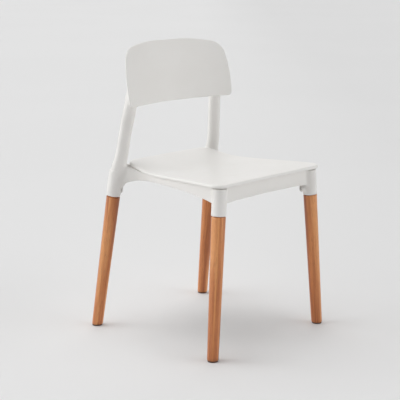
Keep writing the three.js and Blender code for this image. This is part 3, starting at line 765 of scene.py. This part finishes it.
def make_leg(corner, material):
    foot, direction = leg_axis(corner)
    top = RIM_HEIGHT / direction[2]
    groove = top - SHOULDER_GROOVE[corner.split("_")[0]]
    floor = np.array(UP_VECTOR.rotation_difference(Vector(direction)).to_matrix().transposed() @ UP_VECTOR)
    rings = []
    bottom = (GLIDE_HEIGHT + GAP) / direction[2]
    for inset, lift in FOOT_EDGE:
        ring = turned_rings([(FOOT_RADIUS - inset, bottom + lift)])[0]
        ring[:, 2] -= (ring[:, 0] * floor[0] + ring[:, 1] * floor[1]) / floor[2]
        rings.append(ring)
    heights = np.linspace(bottom + 14, top - 6, 24)
    rings += turned_rings([(mix(FOOT_RADIUS, LEG_RADIUS, h / top), h) for h in heights])
    shoulder = [(LEG_RADIUS, groove - 0.8), (LEG_RADIUS - 0.3, groove - 0.4), (LEG_RADIUS - 1.2, groove)]
    shoulder += [(TENON_RADIUS, groove), (TENON_RADIUS, top + TENON_LENGTH - 2)]
    rings += turned_rings(shoulder + [(TENON_RADIUS - 2, top + TENON_LENGTH)])
    points, faces = moved(skin(rings), (0, 0, 0), direction)
    piece = new_piece(f"{corner}_turned_leg", points, faces, Matrix.Translation(Vector(foot) * MM))
    return finish_piece(piece, f"{corner}_leg", material)


def fitting(name, shell, place, node, material):
    """A turned fitting. Its turned edges stay crisp."""
    piece = new_piece(name, *shell, place)
    piece.data.set_sharp_from_angle(angle=math.radians(40))
    return finish_piece(piece, node, material)


def polar_ring(radius_at, height, sides=SIDES):
    """A ring about Z whose radius changes round it."""
    angles = np.linspace(0, math.tau, sides, endpoint=False)
    radii = np.array([radius_at(angle) for angle in angles])
    return np.column_stack([np.cos(angles) * radii, np.sin(angles) * radii, np.full(sides, height)])


def hexagon(angle):
    return HEX_SOCKET_APOTHEM / math.cos((angle % (math.pi / 3)) - math.pi / 6)


def cross(angle):
    arm = CROSS_HALF_WIDTH / max(min(abs(math.sin(angle)), abs(math.cos(angle))), 0.05)
    return min(arm, CROSS_REACH)


def recessed(rings, outline, height, depth, taper):
    """Ends rings that run up to a head's top with a recess of the outline, from height down by depth."""
    rings.append(polar_ring(outline, height))
    rings.append(polar_ring(lambda angle: outline(angle) * 0.97, height - 0.15))
    rings.append(polar_ring(lambda angle: outline(angle) * taper, height - depth))
    rings.append(polar_ring(lambda angle: outline(angle) * taper * 0.2, height - depth - 0.3))
    return rings


def make_glide(corner, nylon, steel):
    foot, _ = leg_axis(corner)
    place = Matrix.Translation(Vector(foot) * MM)
    inner, recess = PIN_RADIUS + GAP, PIN_HEAD_RADIUS + GAP
    profile = [(GLIDE_RADIUS - 1.4, 0), (GLIDE_RADIUS - 0.45, 0.35), (GLIDE_RADIUS, 1.4)]
    profile += [(GLIDE_RADIUS, GLIDE_HEIGHT - 0.4), (GLIDE_RADIUS - 0.4, GLIDE_HEIGHT), (inner, GLIDE_HEIGHT)]
    profile += [(inner, GLIDE_RECESS_DEPTH), (recess, GLIDE_RECESS_DEPTH), (recess, 0.4), (recess + 0.4, 0)]
    fitting(f"{corner}_floor_glide", looped(turned_rings(profile)), place, f"{corner}_glide", nylon)

    top = GLIDE_RECESS_DEPTH - GAP
    profile = [(0.5, PIN_HEAD_START), (2.4, PIN_HEAD_START + 0.06), (3.7, PIN_HEAD_START + 0.25)]
    profile += [(PIN_HEAD_RADIUS, PIN_HEAD_START + 0.75), (PIN_HEAD_RADIUS, top), (PIN_RADIUS, top)]
    profile += [(PIN_RADIUS, PIN_LENGTH - 3), (0.3, PIN_LENGTH - 0.2)]
    fitting(f"{corner}_glide_nail", skin(turned_rings(profile)), place, f"{corner}_glide_pin", steel)


def thread(radius, low, high, pitch, depth):
    """[radius, height] pairs along a threaded shank."""
    turns = int((high - low) / pitch)
    heights = np.linspace(low, high, 2 * turns + 1)
    return [(radius - depth * (i % 2), height) for i, height in enumerate(heights)]


def make_bolt(corner, steel):
    start, outward = bolt_axis(corner)
    place = placing(start, outward)
    recess_floor = BOSS_REACH[corner.split("_")[0]] - BOLT_RECESS_DEPTH
    washer_low = recess_floor + GAP
    washer = tube(WASHER_RADIUS, BOLT_RADIUS + GAP, washer_low, washer_low + WASHER_THICKNESS, 0.25)
    fitting(f"{corner}_flat_washer", washer, place, f"{corner}_leg_washer", steel)

    insert = tube(INSERT_RADIUS, BOLT_RADIUS + GAP, INSERT_START, INSERT_START + INSERT_LENGTH, 0.5)
    fitting(f"{corner}_screw_insert", insert, place, f"{corner}_threaded_insert", steel)

    seat = washer_low + WASHER_THICKNESS + GAP
    head = seat + BOLT_HEAD_HEIGHT
    profile = [(0.4, BOLT_END_REACH), (BOLT_RADIUS - 0.7, BOLT_END_REACH)]
    profile += thread(BOLT_RADIUS, BOLT_END_REACH + 0.8, seat - 1, 1.0, 0.35)
    profile += [(BOLT_RADIUS, seat), (BOLT_HEAD_RADIUS - 0.2, seat), (BOLT_HEAD_RADIUS, seat + 0.3)]
    profile += [(BOLT_HEAD_RADIUS, seat + 0.9)]
    profile += [
        (BOLT_HEAD_RADIUS * math.cos(a) ** 0.8, seat + 0.9 + (BOLT_HEAD_HEIGHT - 0.9) * math.sin(a))
        for a in np.radians([15, 30, 45, 58])
    ]
    profile.append((2.6, head - 0.05))
    rings = recessed(turned_rings(profile), hexagon, head, HEX_SOCKET_DEPTH, 1)
    fitting(f"{corner}_socket_bolt", skin(rings), place, f"{corner}_leg_bolt", steel)


def screw_shell(reach):
    """A pan-head screw with its head's bearing face at 0, its head above and its shank below."""
    profile = [(0.1, -reach), (SCREW_RADIUS - 0.6, -reach + 2)]
    profile += thread(SCREW_RADIUS, -reach + 2.5, -1.5, 1.4, 0.5)
    profile += [(SCREW_RADIUS, 0), (SCREW_HEAD_RADIUS - 0.2, 0), (SCREW_HEAD_RADIUS, 0.3)]
    profile += [(SCREW_HEAD_RADIUS, 1.0), (SCREW_HEAD_RADIUS - 0.35, 1.7), (SCREW_HEAD_RADIUS - 0.9, 2.25)]
    profile.append((SCREW_HEAD_RADIUS - 1.5, SCREW_HEAD_HEIGHT - 0.04))
    return skin(recessed(turned_rings(profile), cross, SCREW_HEAD_HEIGHT, CROSS_DEPTH, 0.8))


def make_screws(steel):
    """The seat's screws drive up from the rails, and the back's drive forward from the post heads."""
    for node in sorted(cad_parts):
        middle = box_middle(node)
        side = np.array((math.copysign(1, middle[0]), 1, 1))
        if node.startswith("seat_screw"):
            bearing = float(rail_top(*middle[:2])) - SCREW_BEARING_DEPTH - GAP
            reach = float(seat_top(*middle[:2])) - SEAT_BOSS_SKIN - 2 * GAP - bearing
            place = placing((middle[0], middle[1], bearing), -UP)
        elif node.startswith("back_screw"):
            start, outward = back_screw_frame(middle * side)
            bearing = BACK_HEAD_SEAT + GAP
            reach = bearing + 1.8
            place = placing((start + outward * bearing) * side, outward * side)
        else:
            continue
        fitting(f"{node}_pan_head", screw_shell(reach), place, node, steel)


# ---------- Materials ----------


class Shader:
    """A Principled material and the nodes that feed it."""

    def __init__(self, name, **values):
        self.material = bpy.data.materials.new(name)
        self.material.use_nodes = True
        self.nodes, self.links = self.material.node_tree.nodes, self.material.node_tree.links
        self.principled = self.nodes["Principled BSDF"]
        for socket, value in values.items():
            self.principled.inputs[socket.replace("_", " ")].default_value = value
        coordinates = self.add("ShaderNodeTexCoord").outputs
        self.place, self.normal = coordinates["Object"], coordinates["Normal"]

    def add(self, kind, **inputs):
        node = self.nodes.new(kind)
        for key, value in inputs.items():
            self.feed(node.inputs[key.replace("_", " ")], value)
        return node

    def feed(self, socket, value):
        if isinstance(value, bpy.types.NodeSocket):
            self.links.new(value, socket)
        else:
            socket.default_value = value

    def stretched(self, scale, offset=(0, 0, 0)):
        mapping = self.add("ShaderNodeMapping", Vector=self.place, Scale=scale, Location=offset)
        return mapping.outputs["Vector"]

    def noise(self, scale, vector=None, detail=4, roughness=0.5, distortion=0.0):
        node = self.add("ShaderNodeTexNoise", Vector=vector or self.place, Scale=scale, Detail=detail)
        node.inputs["Roughness"].default_value = roughness
        node.inputs["Distortion"].default_value = distortion
        return node.outputs["Fac"]

    def ranged(self, value, from_low, from_high, to_low, to_high):
        node = self.add("ShaderNodeMapRange", Value=value)
        limits = {"From Min": from_low, "From Max": from_high, "To Min": to_low, "To Max": to_high}
        for key, number in limits.items():
            node.inputs[key].default_value = number
        return node.outputs["Result"]

    def ramp(self, value, stops):
        node = self.add("ShaderNodeValToRGB", Fac=value)
        elements = node.color_ramp.elements
        while len(elements) < len(stops):
            elements.new(0.5)
        for element, (position, colour) in zip(elements, stops):
            element.position, element.color = position, (*colour, 1)
        return node.outputs["Color"]

    def blend_colours(self, factor, a, b, kind="MIX"):
        node = self.nodes.new("ShaderNodeMix")
        node.data_type, node.blend_type = "RGBA", kind
        for name, value in (("Factor_Float", factor), ("A_Color", a), ("B_Color", b)):
            self.feed(next(s for s in node.inputs if s.identifier == name), value)
        return next(s for s in node.outputs if s.identifier == "Result_Color")

    def maths(self, operation, a, b):
        node = self.nodes.new("ShaderNodeMath")
        node.operation = operation
        self.feed(node.inputs[0], a)
        self.feed(node.inputs[1], b)
        return node.outputs["Value"]

    def bump(self, height, distance, strength, normal=None):
        node = self.add("ShaderNodeBump", Height=height, Distance=distance, Strength=strength)
        if normal is not None:
            self.feed(node.inputs["Normal"], normal)
        return node.outputs["Normal"]

    def finish(self, **sockets):
        for key, value in sockets.items():
            self.feed(self.principled.inputs[key.replace("_", " ")], value)
        return self.material


def satin_plastic():
    """Moulded polypropylene: off-white, finely textured, with rubbed patches that shine a little."""
    shader = Shader("satin_plastic", Metallic=0.0, IOR=1.49)
    drift = shader.noise(9, detail=3)
    cloud = shader.noise(60, detail=3)
    colour = shader.ramp(drift, [(0.3, (0.806, 0.790, 0.762)), (0.7, (0.828, 0.814, 0.790))])
    normal_z = shader.add("ShaderNodeSeparateXYZ", Vector=shader.normal).outputs["Z"]
    facing_up = shader.ranged(normal_z, 0.6, 0.95, 0, 1)
    patches = shader.ranged(shader.noise(5, detail=2), 0.42, 0.62, 0.0, 0.07)
    rubbed = shader.maths("MULTIPLY", patches, facing_up)
    gloss = shader.maths("SUBTRACT", shader.ranged(cloud, 0.3, 0.7, 0.40, 0.50), rubbed)
    hairlines = shader.noise(500, shader.stretched((1, 0.04, 1)), detail=2)
    scratch = shader.maths("MULTIPLY", shader.ranged(hairlines, 0.66, 0.72, 0.0, 1.0), facing_up)
    grain = shader.noise(2600, detail=2, roughness=0.6)
    flow = shader.noise(28, detail=1)
    normal = shader.bump(flow, 0.0006, 0.12)
    normal = shader.bump(grain, 0.00006, 0.5, normal)
    normal = shader.bump(scratch, 0.00003, -0.3, normal)
    return shader.finish(Base_Color=colour, Roughness=gloss, Normal=normal)


def beech(name, seed, direction):
    """Lacquered beech, its grain along a direction. seed moves the pattern."""
    shader = Shader(name, Metallic=0.0, IOR=1.5, Coat_Weight=0.22, Coat_Roughness=0.28)
    upright = Vector(direction).rotation_difference(UP_VECTOR).to_euler("XYZ")
    shader.place = shader.add("ShaderNodeMapping", Vector=shader.place, Rotation=upright).outputs["Vector"]
    offset = (seed * 0.371, seed * 0.193, seed * 1.7)
    wander = shader.noise(42, shader.stretched((1, 1, 0.05), offset), detail=2, distortion=0.3)
    bands = shader.noise(75, shader.stretched((1, 1, 0.035), offset), detail=3, roughness=0.5)
    streaks = shader.noise(230, shader.stretched((1, 1, 0.022), offset), detail=5, roughness=0.6)
    pores = shader.noise(900, shader.stretched((1, 1, 0.05), offset), detail=1)
    fibre = shader.noise(1500, shader.stretched((1, 1, 0.02), offset), detail=2)
    fine = shader.maths("ADD", shader.maths("MULTIPLY", streaks, 0.20), shader.maths("MULTIPLY", bands, 0.25))
    figure = shader.maths("ADD", fine, shader.maths("MULTIPLY", wander, 0.55))
    colour = shader.ramp(figure, [
        (0.41, (0.335, 0.093, 0.023)), (0.465, (0.475, 0.152, 0.043)),
        (0.515, (0.580, 0.207, 0.063)), (0.575, (0.730, 0.315, 0.111)),
    ])
    fleck = shader.ranged(pores, 0.60, 0.68, 0.0, 0.45)
    colour = shader.blend_colours(fleck, colour, (0.24, 0.08, 0.03, 1))
    height = shader.add("ShaderNodeSeparateXYZ", Vector=shader.place).outputs["Z"]
    # The leg's colour is darker and its finish rougher in patches over its lowest 12 mm, towards the floor.
    low_on_leg = shader.ranged(height, 0.012, 0.0, 0.0, 1.0)
    leg_patches = shader.ranged(shader.noise(160, detail=4, roughness=0.7), 0.42, 0.62, 0.0, 1.0)
    bottom_patches = shader.maths("MULTIPLY", shader.maths("MULTIPLY", low_on_leg, leg_patches), 0.5)
    colour = shader.blend_colours(bottom_patches, colour, (0.16, 0.07, 0.035, 1))
    gloss = shader.ranged(streaks, 0.3, 0.7, 0.34, 0.48)
    gloss = shader.maths("ADD", gloss, shader.maths("MULTIPLY", bottom_patches, 0.4))
    normal = shader.bump(fibre, 0.00008, 0.4)
    normal = shader.bump(fleck, 0.0001, -0.4, normal)
    return shader.finish(Base_Color=colour, Roughness=gloss, Normal=normal)


def zinc_steel():
    """Zinc-plated steel: faint turning marks and a mottled gloss."""
    shader = Shader("zinc_steel", Metallic=1.0)
    mottle = shader.noise(700, detail=4, roughness=0.6)
    turning = shader.noise(2200, shader.stretched((0.2, 0.2, 1)), detail=2)
    colour = shader.ramp(mottle, [(0.3, (0.46, 0.46, 0.45)), (0.7, (0.66, 0.66, 0.64))])
    gloss = shader.ranged(mottle, 0.3, 0.7, 0.26, 0.48)
    return shader.finish(Base_Color=colour, Roughness=gloss, Normal=shader.bump(turning, 0.00003, 0.5))


def dark_nylon():
    """Hard nylon under the feet, scuffed paler where it slides on the floor."""
    shader = Shader("dark_nylon", Metallic=0.0, IOR=1.53)
    scuff = shader.noise(420, shader.stretched((1, 0.12, 1)), detail=4, roughness=0.7)
    grain = shader.noise(3000, detail=2)
    normal_z = shader.add("ShaderNodeSeparateXYZ", Vector=shader.normal).outputs["Z"]
    facing_floor = shader.ranged(normal_z, -0.9, -0.3, 1.0, 0.0)
    bottom_patches = shader.maths("MULTIPLY", shader.ranged(scuff, 0.45, 0.7, 0.0, 0.8), facing_floor)
    colour = shader.blend_colours(bottom_patches, (0.105, 0.060, 0.038, 1), (0.21, 0.16, 0.13, 1))
    gloss = shader.ranged(scuff, 0.3, 0.7, 0.45, 0.72)
    return shader.finish(Base_Color=colour, Roughness=gloss, Normal=shader.bump(grain, 0.00004, 0.6))


# ---------- Floor, light and camera ----------

FLOOR_REACH = 60.0
FLOOR_TURN = 47  # degrees, from the chair's axes to the camera's
FLOOR_SHADE = 0.93  # the floor's brightness well to the camera's right, against 1 to its left
FLOOR_SHADE_REACH = 1.1
WORLD_STRENGTH = 0.06
# Large soft lights round the chair: name, azimuth, elevation, strength and spread.
SOFT_LIGHTS = (
    ("left_key_low", -135, 15, 1.50, 45), ("left_fill", -90, 15, 0.56, 60), ("left_high", -165, 42, 0.30, 45),
    ("top_left", -120, 68, 0.40, 40), ("overhead", 0, 90, 0.74, 40), ("top_rear", 145, 60, 0.50, 50),
    ("right_low", 20, 15, 0.94, 50), ("right_side", 48, 15, 0.62, 50), ("right_rear", 132, 15, 0.52, 50),
)
CAMERA_AZIMUTH = -47.04
CAMERA_ELEVATION = 12.18
CAMERA_PLACE = (-2.399, -2.206, 1.065)
CAMERA_LENS = 107.4
SENSOR_WIDTH = 36.0


def make_floor():
    shader = Shader("studio_floor", Roughness=0.9)
    shader.principled.inputs["Specular IOR Level"].default_value = 0.1
    cloud = shader.noise(0.6, detail=2)
    colour = shader.ramp(cloud, [(0.4, (0.785, 0.785, 0.785)), (0.6, (0.791, 0.791, 0.791))])
    turn = (0, 0, math.radians(FLOOR_TURN))
    turned = shader.add("ShaderNodeMapping", Vector=shader.place, Rotation=turn)
    across = shader.add("ShaderNodeSeparateXYZ", Vector=turned.outputs["Vector"]).outputs["X"]
    shade = shader.ranged(across, 0.0, FLOOR_SHADE_REACH, 1.0, FLOOR_SHADE)
    colour = shader.blend_colours(1.0, colour, shade, "MULTIPLY")
    mesh = bpy.data.meshes.new("studio_floor")
    corners = [(x * FLOOR_REACH, y * FLOOR_REACH, 0) for x, y in ((-1, -1), (1, -1), (1, 1), (-1, 1))]
    mesh.from_pydata(corners, [], [(0, 1, 2, 3)])
    floor = bpy.data.objects.new("studio_floor", mesh)
    bpy.context.scene.collection.objects.link(floor)
    mesh.materials.append(shader.finish(Base_Color=colour))


def direction_of(azimuth, elevation):
    """The direction from the chair at an azimuth round from its front and an elevation, in degrees."""
    a, e = math.radians(azimuth), math.radians(elevation)
    return Vector((math.sin(a) * math.cos(e), -math.cos(a) * math.cos(e), math.sin(e)))


def make_sun(name, azimuth, elevation, strength, spread):
    sun = bpy.data.lights.new(name, "SUN")
    sun.energy, sun.angle = strength, math.radians(spread)
    lamp = bpy.data.objects.new(name, sun)
    lamp.rotation_mode = "QUATERNION"
    lamp.rotation_quaternion = direction_of(azimuth, elevation).to_track_quat("Z", "Y")
    bpy.context.scene.collection.objects.link(lamp)


def make_light():
    scene = bpy.context.scene
    scene.view_settings.view_transform = "Standard"
    world = bpy.data.worlds.new("studio")
    scene.world = world
    world.use_nodes = True
    world.node_tree.nodes["Background"].inputs["Color"].default_value = (1, 1, 1, 1)
    world.node_tree.nodes["Background"].inputs["Strength"].default_value = WORLD_STRENGTH
    for name, azimuth, elevation, strength, spread in SOFT_LIGHTS:
        make_sun(name, azimuth, elevation, strength, spread)


def make_camera():
    camera = bpy.data.cameras.new("camera")
    camera.lens, camera.sensor_width = CAMERA_LENS, SENSOR_WIDTH
    camera.clip_end = 200
    viewer = bpy.data.objects.new("camera", camera)
    viewer.location = CAMERA_PLACE
    viewer.rotation_mode = "QUATERNION"
    viewer.rotation_quaternion = direction_of(CAMERA_AZIMUTH, CAMERA_ELEVATION).to_track_quat("Z", "Y")
    bpy.context.scene.collection.objects.link(viewer)
    bpy.context.scene.camera = viewer


# ---------- Assembly ----------

plastic, steel, nylon = satin_plastic(), zinc_steel(), dark_nylon()
make_frame(plastic)
make_seat(plastic)
make_back(plastic)
for corner, seed in zip(CORNERS, WOOD_SEEDS):
    make_leg(corner, beech(f"beech_{corner}", seed, leg_axis(corner)[1]))
    make_glide(corner, nylon, steel)
    make_bolt(corner, steel)
make_screws(steel)
make_floor()
make_light()
make_camera()
